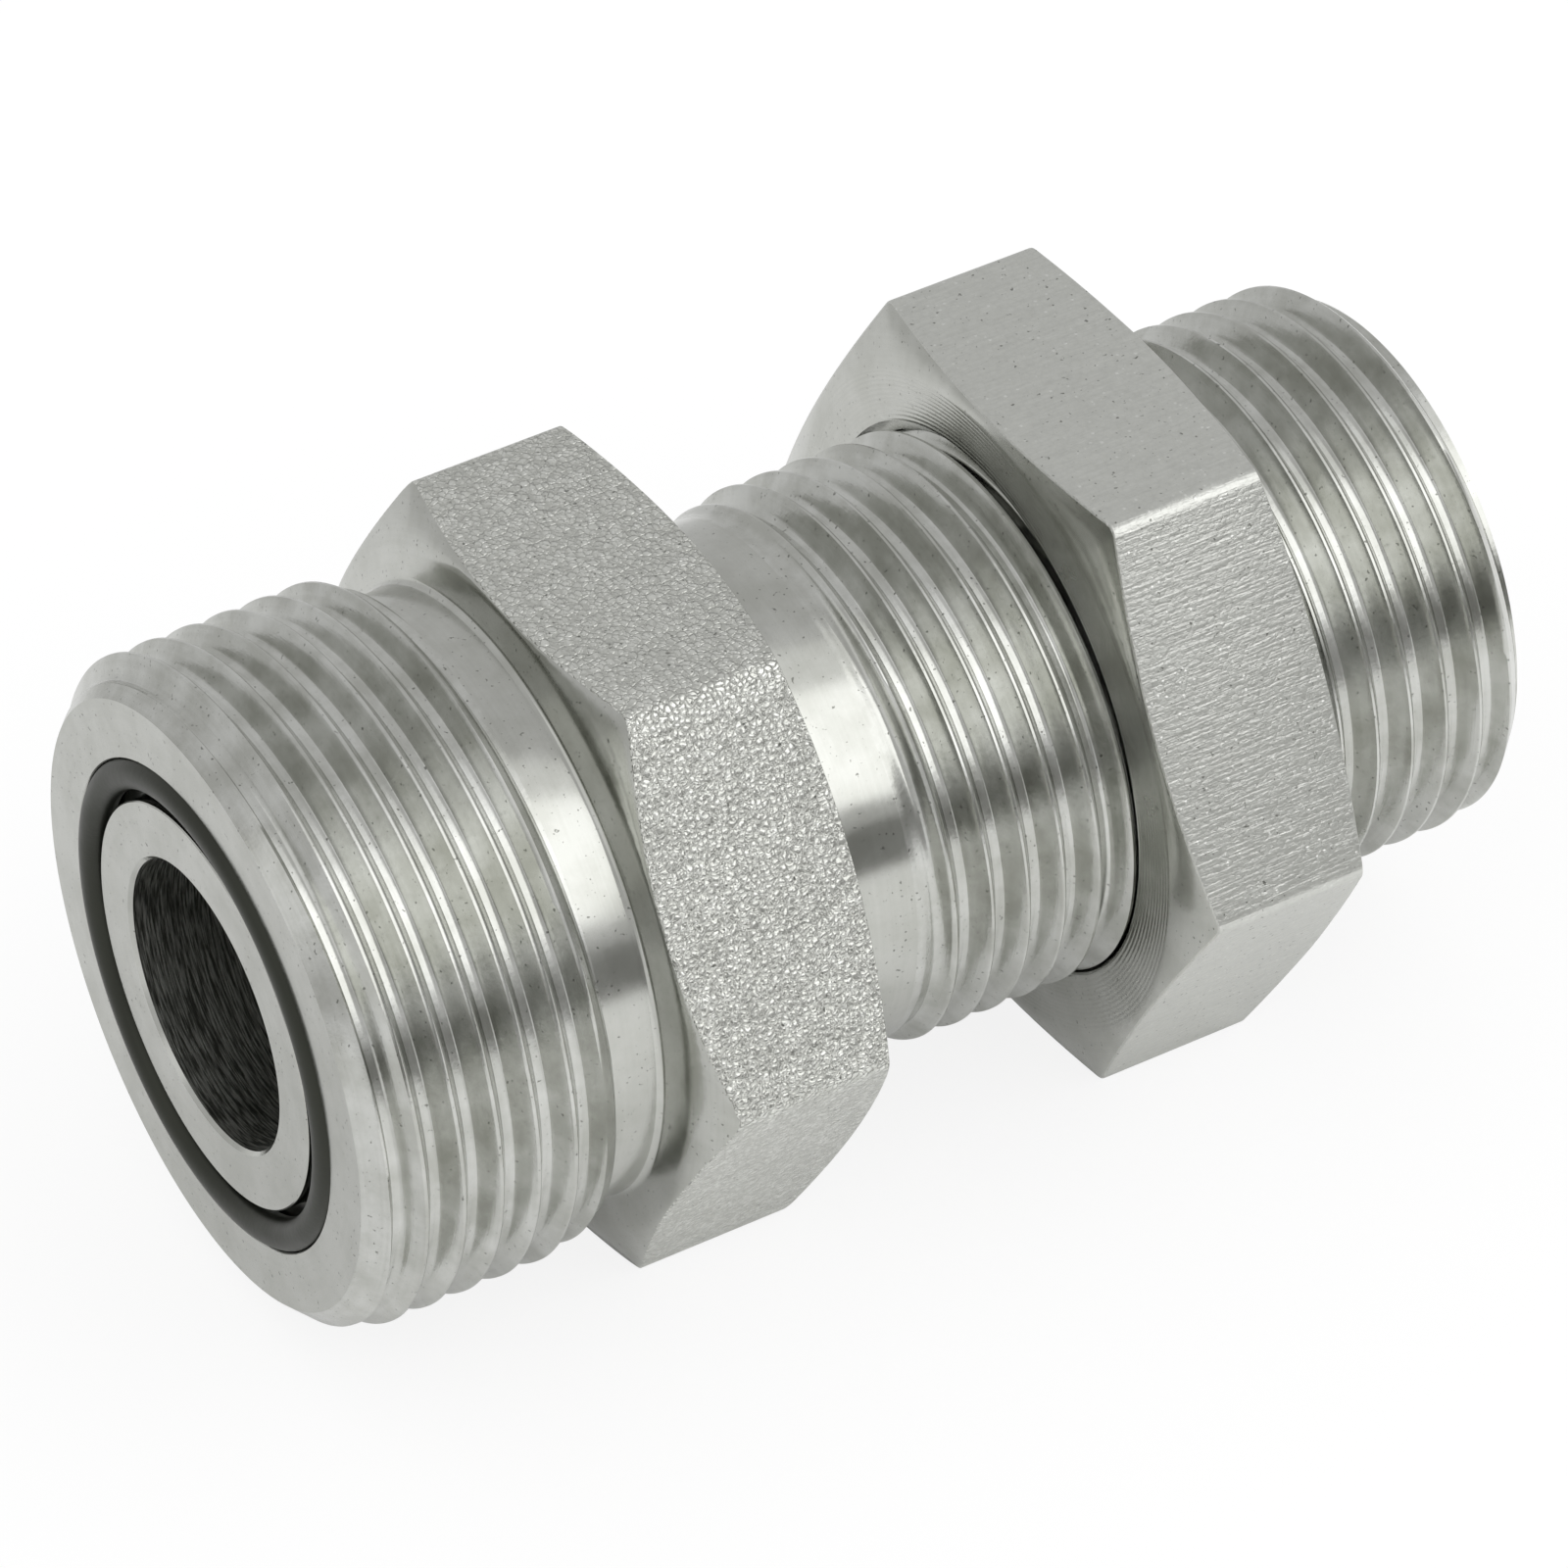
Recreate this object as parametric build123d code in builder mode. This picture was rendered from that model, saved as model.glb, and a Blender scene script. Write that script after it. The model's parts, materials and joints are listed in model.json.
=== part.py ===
from build123d import *
from math import cos, radians, tan
import os

# A straight bulkhead union for hydraulic tube, with an O-ring face seal at each end.
# Its large end takes a tube one size bigger than its small end, which also passes the panel.
# The bore runs along X. The origin is on that axis, where the body hexagon bears on the panel,
# and the small end points along +X. The union lies on its hexagon flats with +Z up.
# Sizes are in millimetres. Threads are drawn as plain cylinders at their outside diameter.

# Large end: 1 7/16-12 thread between its seal face and the body hexagon, one size above the small end
size_step = 6.3
large_end_length = 17.4
large_thread_chamfer = 1.75
large_thread_length = 14.1
large_runout_length = 1.4
large_runout_drop = 0.8
large_relief_depth = 1.7

# Small end: 1 3/16-12 thread from the panel face to its own seal face
small_end_length = 41.6
small_thread_diameter = 30.1
small_thread_chamfer = 1.2
shank_length = 5.9
shank_depth = 0.7
shank_lead_angle = 30.0

# Both hexagons are one size, and stand this far outside the large thread so that a wrench passes it
hexagon_margin = 0.6

# Body hexagon. Each face is turned to a circle just inside the flats, with a cone on the corners.
body_hexagon_width = 11.0
body_front_inset = 0.25
body_front_angle = 24.0
body_panel_inset = 0.35
body_panel_angle = 19.5
body_edge_radius = 0.3
relief_fillet = 0.6
shank_fillet = 0.5

# Bore from end to end
bore_diameter = 15.7
bore_chamfer = 0.2

# Seal grooves, whose outer wall leans outwards so that the ring stays in
groove_depth = 1.38
groove_width = 2.4
groove_wall_angle = 8.0
large_groove_diameter = 26.5
small_groove_diameter = 22.0

# O-rings
ring_section = 1.78
ring_clearance = 0.02

# Locknut, which stands this far from the body hexagon
locknut_gap = 17.45
locknut_width = 10.3
locknut_panel_inset = 0.65
locknut_panel_angle = 17.6
locknut_outer_inset = 0.2
locknut_outer_angle = 19.5
locknut_edge_radius = 0.8
countersink_depth = 0.4
thread_clearance = 0.08

# A cutter or a turning profile runs past the metal by this much
overrun = 1.0

# Large thread, and the size across flats of both hexagons
large_thread_diameter = small_thread_diameter + size_step
across_flats = large_thread_diameter + 2 * hexagon_margin

# Places along the axis
hexagon_x = -body_hexagon_width
large_face_x = hexagon_x - large_end_length
small_face_x = small_end_length
locknut_end_x = locknut_gap + locknut_width


def corner_turning(start_x, end_x, start_inset, start_angle, end_inset, end_angle):
    """Half section of the turned form that a hexagon is cut back to, with a cone at each face."""
    start_radius = across_flats / 2 - start_inset
    end_radius = across_flats / 2 - end_inset
    outer_radius = across_flats / 2 / cos(radians(30)) + overrun
    start_drop = (outer_radius - start_radius) * tan(radians(start_angle))
    end_drop = (outer_radius - end_radius) * tan(radians(end_angle))
    with BuildSketch(Plane.XY) as section:
        with BuildLine():
            Polyline(
                (start_x, 0),
                (start_x, start_radius),
                (start_x + start_drop, outer_radius),
                (end_x - end_drop, outer_radius),
                (end_x, end_radius),
                (end_x, 0),
                close=True,
            )
        make_face()
    return section.sketch


def groove_section(face_x, inwards, mouth_diameter):
    """Half section of a seal groove. inwards is 1 or -1, the way into the metal along X."""
    mouth_radius = mouth_diameter / 2
    lean = groove_depth * tan(radians(groove_wall_angle))
    floor_x = face_x + inwards * groove_depth
    outside_x = face_x - inwards * overrun
    with BuildSketch(Plane.XY) as section:
        with BuildLine():
            Polyline(
                (outside_x, mouth_radius - groove_width),
                (floor_x, mouth_radius - groove_width),
                (floor_x, mouth_radius + lean),
                (face_x, mouth_radius),
                (outside_x, mouth_radius),
                close=True,
            )
        make_face()
    return section.sketch


def ring_seated_section(face_x, inwards, mouth_diameter):
    """Section of an O-ring that lies on its groove's floor and against the leaning outer wall."""
    radius = ring_section / 2
    depth = groove_depth - ring_clearance - radius
    wall_radius = mouth_diameter / 2 + depth * tan(radians(groove_wall_angle))
    centre_radius = wall_radius - (radius + ring_clearance) / cos(radians(groove_wall_angle))
    with BuildSketch(Plane.XY) as section:
        with Locations((face_x + inwards * depth, centre_radius)):
            Circle(radius)
    return section.sketch


# Union body: a forged hexagon with a turned and threaded end on each side
with BuildPart() as union_body:
    with BuildSketch(Plane.YZ.offset(hexagon_x)):
        RegularPolygon(across_flats / 2, 6, major_radius=False)
    extrude(amount=body_hexagon_width)
    fillet(union_body.edges().filter_by(Axis.X), body_edge_radius)
    body_turning = corner_turning(
        hexagon_x,
        0,
        body_front_inset,
        body_front_angle,
        body_panel_inset,
        body_panel_angle,
    )
    revolve(body_turning, axis=Axis.X, mode=Mode.INTERSECT)

    # The turned ends meet inside the hexagon
    large_radius = large_thread_diameter / 2
    relief_radius = large_radius - large_relief_depth
    small_radius = small_thread_diameter / 2
    shank_radius = small_radius - shank_depth
    runout_x = large_face_x + large_thread_length
    shank_lead = (small_radius - shank_radius) / tan(radians(shank_lead_angle))
    with BuildSketch(Plane.XY) as turned_section:
        with BuildLine():
            Polyline(
                (large_face_x, 0),
                (large_face_x, large_radius - large_thread_chamfer),
                (large_face_x + large_thread_chamfer, large_radius),
                (runout_x - large_runout_length, large_radius),
                (runout_x, large_radius - large_runout_drop),
                (runout_x, relief_radius),
                (hexagon_x / 2, relief_radius),
                (hexagon_x / 2, shank_radius),
                (shank_length, shank_radius),
                (shank_length + shank_lead, small_radius),
                (small_face_x - small_thread_chamfer, small_radius),
                (small_face_x, small_radius - small_thread_chamfer),
                (small_face_x, 0),
                close=True,
            )
        make_face()
    revolve(turned_section.sketch, axis=Axis.X)

    # Fillets where the relief and the shank meet the hexagon's faces
    circles = union_body.edges().filter_by(GeomType.CIRCLE)
    at_hexagon = circles.filter_by_position(Axis.X, hexagon_x, hexagon_x)
    fillet(at_hexagon.sort_by(SortBy.RADIUS)[0], relief_fillet)
    circles = union_body.edges().filter_by(GeomType.CIRCLE)
    at_panel = circles.filter_by_position(Axis.X, 0, 0)
    fillet(at_panel.sort_by(SortBy.RADIUS)[0], shank_fillet)

    # Bore with a broken edge at each end
    bore_radius = bore_diameter / 2
    with BuildSketch(Plane.XY) as bore_section:
        with BuildLine():
            Polyline(
                (large_face_x, 0),
                (large_face_x, bore_radius + bore_chamfer),
                (large_face_x + bore_chamfer, bore_radius),
                (small_face_x - bore_chamfer, bore_radius),
                (small_face_x, bore_radius + bore_chamfer),
                (small_face_x, 0),
                close=True,
            )
        make_face()
    revolve(bore_section.sketch, axis=Axis.X, mode=Mode.SUBTRACT)

    # Seal grooves in the two end faces
    revolve(groove_section(large_face_x, 1, large_groove_diameter), axis=Axis.X, mode=Mode.SUBTRACT)
    revolve(groove_section(small_face_x, -1, small_groove_diameter), axis=Axis.X, mode=Mode.SUBTRACT)

# Locknut: hexagon bar, faced and countersunk, running on the small end's thread
with BuildPart() as locknut:
    with BuildSketch(Plane.YZ.offset(locknut_gap)):
        RegularPolygon(across_flats / 2, 6, major_radius=False)
    extrude(amount=locknut_width)
    fillet(locknut.edges().filter_by(Axis.X), locknut_edge_radius)
    locknut_turning = corner_turning(
        locknut_gap,
        locknut_end_x,
        locknut_panel_inset,
        locknut_panel_angle,
        locknut_outer_inset,
        locknut_outer_angle,
    )
    revolve(locknut_turning, axis=Axis.X, mode=Mode.INTERSECT)

    # Threaded hole, clear of the thread's outside diameter, with a countersink at each face
    hole_radius = small_thread_diameter / 2 + thread_clearance
    mouth_radius = hole_radius + countersink_depth
    with BuildSketch(Plane.XY) as hole_section:
        with BuildLine():
            Polyline(
                (locknut_gap, 0),
                (locknut_gap, mouth_radius),
                (locknut_gap + countersink_depth, hole_radius),
                (locknut_end_x - countersink_depth, hole_radius),
                (locknut_end_x, mouth_radius),
                (locknut_end_x, 0),
                close=True,
            )
        make_face()
    revolve(hole_section.sketch, axis=Axis.X, mode=Mode.SUBTRACT)

# O-rings, each seated in its groove and standing a little proud of the seal face
with BuildPart() as large_o_ring:
    revolve(ring_seated_section(large_face_x, 1, large_groove_diameter), axis=Axis.X)

with BuildPart() as small_o_ring:
    revolve(ring_seated_section(small_face_x, -1, small_groove_diameter), axis=Axis.X)

union_body.part.label = "union_body"
locknut.part.label = "locknut"
large_o_ring.part.label = "large_o_ring"
small_o_ring.part.label = "small_o_ring"

os.makedirs("parts", exist_ok=True)
export_step(union_body.part, "parts/union_body.step")
export_step(locknut.part, "parts/locknut.step")
export_step(large_o_ring.part, "parts/large_o_ring.step")
export_step(small_o_ring.part, "parts/small_o_ring.step")
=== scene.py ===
import json
import math
from functools import partial

import bmesh
import bpy
import numpy as np
from mathutils import Matrix, Vector


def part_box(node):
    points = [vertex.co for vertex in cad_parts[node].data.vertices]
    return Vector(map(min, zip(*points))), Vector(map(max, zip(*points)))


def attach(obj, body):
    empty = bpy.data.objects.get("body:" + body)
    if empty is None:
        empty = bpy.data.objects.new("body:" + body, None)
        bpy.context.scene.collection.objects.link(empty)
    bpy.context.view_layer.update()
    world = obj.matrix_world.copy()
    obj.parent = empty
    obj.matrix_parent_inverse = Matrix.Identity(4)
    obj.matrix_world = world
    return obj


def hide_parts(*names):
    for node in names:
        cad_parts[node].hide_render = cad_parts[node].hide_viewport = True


bl_info = {
    "name": "Face Seal Bulkhead Union",
    "version": (1, 0, 0),
    "blender": (4, 5, 0),
    "location": "3D View > Sidebar > Union",
    "description": "A straight bulkhead union with its locknut and O-rings, on a pale floor",
    "category": "Add Mesh",
}

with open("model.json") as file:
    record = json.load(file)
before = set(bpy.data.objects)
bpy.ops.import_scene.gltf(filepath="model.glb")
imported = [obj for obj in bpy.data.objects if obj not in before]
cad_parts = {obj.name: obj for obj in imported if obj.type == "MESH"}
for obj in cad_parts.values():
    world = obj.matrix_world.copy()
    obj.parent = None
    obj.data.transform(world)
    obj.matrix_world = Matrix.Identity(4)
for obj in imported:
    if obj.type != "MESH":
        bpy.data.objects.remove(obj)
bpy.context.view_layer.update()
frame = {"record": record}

# One millimetre in scene units
MM = 0.001

# The frame's boxes give the lengths and the size across flats, its mounts the bore and a thread
body_low, body_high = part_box("union_body")
nut_low, nut_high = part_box("locknut")
large_ring_low, large_ring_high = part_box("large_o_ring")
small_ring_low, small_ring_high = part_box("small_o_ring")
mounts = {mount["name"]: mount for mount in frame["record"]["mounts"]}

# Columns round the axis, a multiple of the six flats, and rows for each turn of a thread
COLUMNS = 180
ROWS_PER_TURN = 16

# Vertices nearer than this are one
WELD = 1e-6

# An edge between faces that turn by more than this stays sharp
SHARP_ANGLE = math.radians(38)

# Half of the angle that one flat of a hexagon takes up round the axis
HALF_SIDE = math.radians(30)

# Half of the angle between the flanks of a unified thread
HALF_FLANK = math.radians(30)

# A lathe tool's path gets this much longer for each unit of radius, so that cones and faces have
# rings as cylinders do
PATH_PER_RADIUS = 0.6

# Radius in millimetres at which a pattern round the axis has its true size
PATTERN_RADIUS = 16.0

# Half the width of the floor, and its gap to the flats that rest on it, so that no two faces coincide
FLOOR_HALF = 1.5
FLOOR_GAP = 0.02 * MM

# Distance of the softboxes from the origin
LAMP_DISTANCE = 0.8

# Dark card: strips along its curve
CARD_STRIPS = 24


def size(name, description, default, unit="LENGTH"):
    """A property for one size. Lengths are in metres and angles in radians."""
    return bpy.props.FloatProperty(
        name=name,
        description=description,
        default=default,
        precision=5,
        unit=unit,
        subtype="DISTANCE" if unit == "LENGTH" else "ANGLE",
    )


def finish(name, description, default):
    """A property for one colour, as sRGB hex."""
    return bpy.props.StringProperty(name=name, description=description, default=default)


class ThreadSizes(bpy.types.PropertyGroup):
    """Sizes that both threads share."""

    pitch: size("Pitch", "Length of one turn, at 12 turns to the inch", 25.4 * MM / 12)
    depth: size("Depth", "Height of the thread from root to crest", 1.2 * MM)
    crest: size("Crest", "Flat along the top of the thread", 0.22 * MM)
    rounding: size("Rounding", "How far the crest and the root are rounded", 0.09 * MM)
    large_offset: size(
        "Large Offset", "Where a crest of the large thread passes the +Y side", 0.81 * MM
    )
    small_offset: size(
        "Small Offset", "Where a crest of the small thread passes the +Y side", 1.55 * MM
    )
    play: size("Play", "Radial clearance between the locknut's thread and the union's", 0.1 * MM)


class BodySizes(bpy.types.PropertyGroup):
    """Sizes of the union body."""

    hexagon_width: size("Hexagon Width", "Width of the body hexagon along the axis", 11.0 * MM)
    front_inset: size("Front Inset", "From the flats in to the edge of the front face", 0.25 * MM)
    front_angle: size(
        "Front Angle", "Slope of the corner cone at the front", math.radians(24.0), "ROTATION"
    )
    panel_inset: size("Panel Inset", "From the flats in to the edge of the panel face", 0.35 * MM)
    panel_angle: size(
        "Panel Angle", "Slope of the corner cone at the panel", math.radians(19.5), "ROTATION"
    )
    front_dish: size(
        "Front Dish", "How far the front face falls from the relief to its rim", 0.25 * MM
    )
    crease_break: size(
        "Crease Break", "Width over which the faces turn into the corner cones", 0.35 * MM
    )
    edge_radius: size("Edge Radius", "Rounding of the hexagon's long edges", 0.7 * MM)
    edge_fall: size(
        "Edge Fall", "How far the forged flats fall off towards the long edges", 0.09 * MM
    )
    large_chamfer: size("Large Chamfer", "Entry chamfer of the large thread", 1.75 * MM)
    large_thread_length: size("Large Thread Length", "From the seal face to the relief", 14.1 * MM)
    runout_length: size("Run-out Length", "Length over which the large thread drops off", 1.4 * MM)
    runout_drop: size("Run-out Drop", "How far the large thread drops off", 0.8 * MM)
    relief_depth: size(
        "Relief Depth", "Depth of the relief under the large thread's crest", 1.7 * MM
    )
    relief_fillet: size("Relief Fillet", "Fillet between the relief and the hexagon", 0.4 * MM)
    shank_length: size(
        "Shank Length", "Plain shank between the panel face and the small thread", 4.9 * MM
    )
    shank_depth: size("Shank Depth", "Depth of the shank under the small thread's crest", 0.7 * MM)
    shank_fillet: size("Shank Fillet", "Fillet between the shank and the hexagon", 0.5 * MM)
    run_in: size("Run-in", "Length over which the small thread rises from the shank", 2.6 * MM)
    small_chamfer: size("Small Chamfer", "Entry chamfer of the small thread", 1.2 * MM)
    small_thread_radius: size(
        "Small Thread Radius", "Radius of the small thread's crest", 15.05 * MM
    )
    bore_chamfer: size("Bore Chamfer", "Broken edge of the bore", 0.2 * MM)
    groove_depth: size("Groove Depth", "Depth of the seal grooves", 1.38 * MM)
    groove_width: size("Groove Width", "Width of the seal grooves at the face", 2.26 * MM)
    groove_lean: size(
        "Groove Lean", "How far the groove's outer wall leans out at the floor", 0.194 * MM
    )
    large_groove: size("Large Groove", "Radius of the large groove's mouth", 13.25 * MM)
    small_groove: size("Small Groove", "Radius of the small groove's mouth", 11.0 * MM)
    edge_break: size("Edge Break", "Width of the broken edges of turned faces", 0.07 * MM)


class NutSizes(bpy.types.PropertyGroup):
    """Sizes of the locknut."""

    panel_inset: size("Panel Inset", "From the flats in to the edge of the panel face", 0.48 * MM)
    panel_shift: size(
        "Panel Shift", "How far the panel face is turned off centre, downwards", 0.19 * MM
    )
    panel_angle: size(
        "Panel Angle", "Slope of the corner cone at the panel", math.radians(15.5), "ROTATION"
    )
    outer_inset: size("Outer Inset", "From the flats in to the edge of the outer face", 0.05 * MM)
    outer_angle: size(
        "Outer Angle", "Slope of the corner cone at the outer face", math.radians(14.0), "ROTATION"
    )
    edge_radius: size("Edge Radius", "Rounding of the long edges", 0.8 * MM)
    mouth_radius: size("Mouth Radius", "Radius of the countersink at each face", 15.36 * MM)
    edge_break: size("Edge Break", "Width of the broken edges", 0.12 * MM)


class FinishColours(bpy.types.PropertyGroup):
    """Colours of the finishes, with the painted shade and painted glints of the flats, as sRGB hex."""

    steel: finish("Plated Steel", "Bright zinc over steel", "C4C5C0")
    steel_dark: finish("Dull Plating", "Zinc where it is dull", "B7B8B2")
    speck: finish("Specks", "Small stains in the plating", "6A6B65")
    thread: finish("Threads", "Bright zinc on the threads", "D0D1CD")
    domes: finish("Blasted Domes", "Zinc on the body's flats", "E8E9E4")
    # Painted shade: the darker end of the blasted flats' colour, laid in the hollows between the domes
    seams: finish("Blasted Seams", "Zinc between the domes", "C6C7C1")
    ridges: finish("Drawn Ridges", "Zinc on the locknut's flats", "D6D7D2")
    # Painted shade: the darker end of the drawn flats' colour, laid in the hollows between the ridges
    valleys: finish("Drawn Valleys", "Zinc between the ridges", "C4C5C0")
    # Painted highlight: a lighter colour laid on the tops of the nubs, as a glint
    glint: finish("Glints", "Tops of small nubs on the flats", "F2F3F0")
    bore: finish("Bore", "Thinly plated steel", "E6E7E2")
    bore_dark: finish("Bore Streaks", "Streaks in the bore", "6E6F69")
    rubber: finish("Nitrile Rubber", "Black rubber", "1C1E18")
    rubber_dark: finish("Rubber Shade", "Darker rubber", "0F0F0E")
    floor: finish("Floor", "White floor", "F4F4F4")


def node(tree, kind, inputs=None, **settings):
    """Adds a node with its settings. Each input, by name or place, gets a value or a link from a socket."""
    made = tree.nodes.new(kind)
    for name, value in settings.items():
        setattr(made, name, value)
    for name, value in (inputs or {}).items():
        if isinstance(value, bpy.types.NodeSocket):
            tree.links.new(value, made.inputs[name])
        else:
            made.inputs[name].default_value = value
    return made


def maths(tree, operation, *values):
    """One arithmetic step. Each value is a number or a socket."""
    return node(tree, "ShaderNodeMath", dict(enumerate(values)), operation=operation).outputs[0]


def linear(colour):
    """An sRGB hex colour as linear red, green, blue and alpha."""
    parts = [int(colour[i : i + 2], 16) / 255 for i in (0, 2, 4)]
    return [c / 12.92 if c <= 0.04045 else ((c + 0.055) / 1.055) ** 2.4 for c in parts] + [1.0]


def blend(tree, share, under, over):
    """A colour between two others, each a socket or sRGB hex. Share is how much it has of the second."""
    under, over = (linear(each) if isinstance(each, str) else each for each in (under, over))
    return node(tree, "ShaderNodeMix", {0: share, 6: under, 7: over}, data_type="RGBA").outputs[2]


def noise(tree, place, spot, detail, roughness=0.5):
    """Noise between 0 and 1 whose spots have the given size."""
    inputs = {"Vector": place, "Scale": 1 / spot, "Detail": detail, "Roughness": roughness}
    return node(tree, "ShaderNodeTexNoise", inputs).outputs[0]


def blank_material(name):
    """A material with an empty tree, and its output node."""
    material = bpy.data.materials.new(name)
    material.use_nodes = True
    material.node_tree.nodes.clear()
    return material, node(material.node_tree, "ShaderNodeOutputMaterial")


def surface(tree, output, depth, height, inputs):
    """Gives a material its shader, with a relief whose depth is in millimetres."""
    relief = node(tree, "ShaderNodeBump", {"Strength": 1.0, "Distance": depth * MM, "Height": height})
    shader = node(tree, "ShaderNodeBsdfPrincipled", {**inputs, "Normal": relief.outputs[0]})
    tree.links.new(shader.outputs["BSDF"], output.inputs["Surface"])


def in_millimetres(tree):
    """Object coordinates in millimetres, so that the scale of a pattern is one over its real size."""
    place = node(tree, "ShaderNodeTexCoord").outputs["Object"]
    per_metre = (1 / MM, 1 / MM, 1 / MM)
    return node(tree, "ShaderNodeVectorMath", {0: place, 1: per_metre}, operation="MULTIPLY").outputs[0]


def tool_path(tree, place, ring, arc):
    """Coordinates that repeat every ring along the lathe tool's path, and every arc round the axis.

    Both are in millimetres. The path runs along cylinders, cones and faces alike.
    """
    parts = node(tree, "ShaderNodeSeparateXYZ", {0: place}).outputs
    across = node(tree, "ShaderNodeCombineXYZ", {"Y": parts["Y"], "Z": parts["Z"]}).outputs[0]
    radius = node(tree, "ShaderNodeVectorMath", {0: across}, operation="LENGTH").outputs["Value"]
    way = node(tree, "ShaderNodeVectorMath", {0: across}, operation="NORMALIZE").outputs[0]
    path = maths(tree, "ADD", parts["X"], maths(tree, "MULTIPLY", radius, PATH_PER_RADIUS))
    turns = {0: way, "Scale": PATTERN_RADIUS / arc}
    turned = node(tree, "ShaderNodeVectorMath", turns, operation="SCALE").outputs[0]
    line = node(tree, "ShaderNodeCombineXYZ", {"X": maths(tree, "MULTIPLY", path, 1 / ring)})
    return node(tree, "ShaderNodeVectorMath", {0: turned, 1: line.outputs[0]}, operation="ADD").outputs[0]


def spread(tree, value, low, high, to_low, to_high):
    """Maps a value from one range onto another, and holds it there."""
    inputs = {"Value": value, "From Min": low, "From Max": high, "To Min": to_low, "To Max": to_high}
    return node(tree, "ShaderNodeMapRange", inputs).outputs[0]


def cut_steel(name, bright, dull, ring, depth, rough, feed=0.0):
    """Steel cut on a lathe and plated with bright zinc.

    Ring is the spacing of the tool's marks, depth is theirs and the grit's, and feed is the depth of
    even rings at that spacing, all in millimetres.
    """
    material, output = blank_material(name)
    tree = material.node_tree
    place = in_millimetres(tree)
    path = tool_path(tree, place, ring, 14.0)
    marks = noise(tree, path, 1.0, 3.0)
    grit = noise(tree, place, 0.3, 3.0)
    clouds = noise(tree, place, 10 / 3, 5.0, 0.6)
    stain = spread(tree, noise(tree, place, 0.24, 1.0), 0.7, 0.77, 0.0, 0.8)
    tone = spread(tree, maths(tree, "MULTIPLY_ADD", marks, 0.2, clouds), 0.47, 0.73, 0.0, 1.0)
    colour = blend(tree, tone, dull, bright)
    colour = blend(tree, stain, colour, bpy.context.scene.finish_colours.speck)
    height = maths(tree, "ADD", marks, grit)
    if feed:
        along = node(tree, "ShaderNodeSeparateXYZ", {0: path}).outputs["X"]
        wave = maths(tree, "SINE", maths(tree, "MULTIPLY", along, math.tau / PATH_PER_RADIUS))
        height = maths(tree, "MULTIPLY_ADD", wave, feed / depth, height)
    roughness = spread(tree, clouds, 0.3, 0.7, rough - 0.04, rough + 0.04)
    surface(tree, output, depth, height, {"Base Color": colour, "Metallic": 1.0, "Roughness": roughness})
    return material


def turned_steel():
    """Turned steel under bright zinc: smooth, with faint rings, so a lamp shows as a soft band."""
    # Tool marks, drawn at twice the real feed of 0.1 mm, because finer ones don't show
    colours = bpy.context.scene.finish_colours
    bright, dull = colours.steel, colours.steel_dark
    return cut_steel("turned_zinc_plated_steel", bright, dull, ring=0.2, depth=0.001, rough=0.17)


def faced_steel():
    """A nut's faces under bright zinc: even rings from the facing tool, 0.25 mm apart."""
    colours = bpy.context.scene.finish_colours
    bright, dull = colours.steel, colours.steel_dark
    return cut_steel("faced_zinc_plated_steel", bright, dull, ring=0.25, depth=0.0035, rough=0.24, feed=0.006)


def thread_steel():
    """Screw thread under bright zinc: the flanks are a little torn, so a lamp breaks up on them."""
    colours = bpy.context.scene.finish_colours
    bright, dull = colours.thread, colours.steel_dark
    return cut_steel("screw_cut_zinc_plated_steel", bright, dull, ring=0.3, depth=0.006, rough=0.21)


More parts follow.
